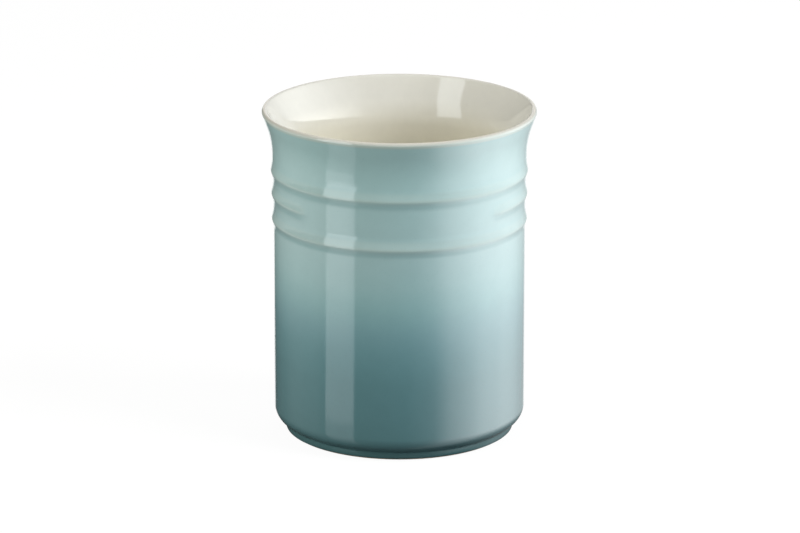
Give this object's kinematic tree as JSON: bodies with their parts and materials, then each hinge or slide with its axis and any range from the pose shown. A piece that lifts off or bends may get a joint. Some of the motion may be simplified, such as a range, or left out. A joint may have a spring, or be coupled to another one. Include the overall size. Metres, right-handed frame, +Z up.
{
  "type": "utensil crock",
  "caption": "Round stoneware utensil crock with a flared rim, raised ribs below it, a graded sea-green glaze outside, a cream glaze inside and a bare foot ring.",
  "frame": {"origin": "centre of the face that the foot ring stands on", "axes": "+Z up along the crock's axis, -Y towards its front, where the middle rib is broken, and +X to the viewer's right"},
  "size_m": [0.1238, 0.1238, 0.15],
  "materials": {
    "bare_clay": "matte",
    "sea_green_glaze": "gloss",
    "cream_glaze": "gloss"
  },
  "bodies": {
    "root": {"stoneware_body": "bare_clay", "outer_glaze": "sea_green_glaze", "inner_glaze": "cream_glaze", "base_glaze": "sea_green_glaze"}
  },
  "joints": []
}
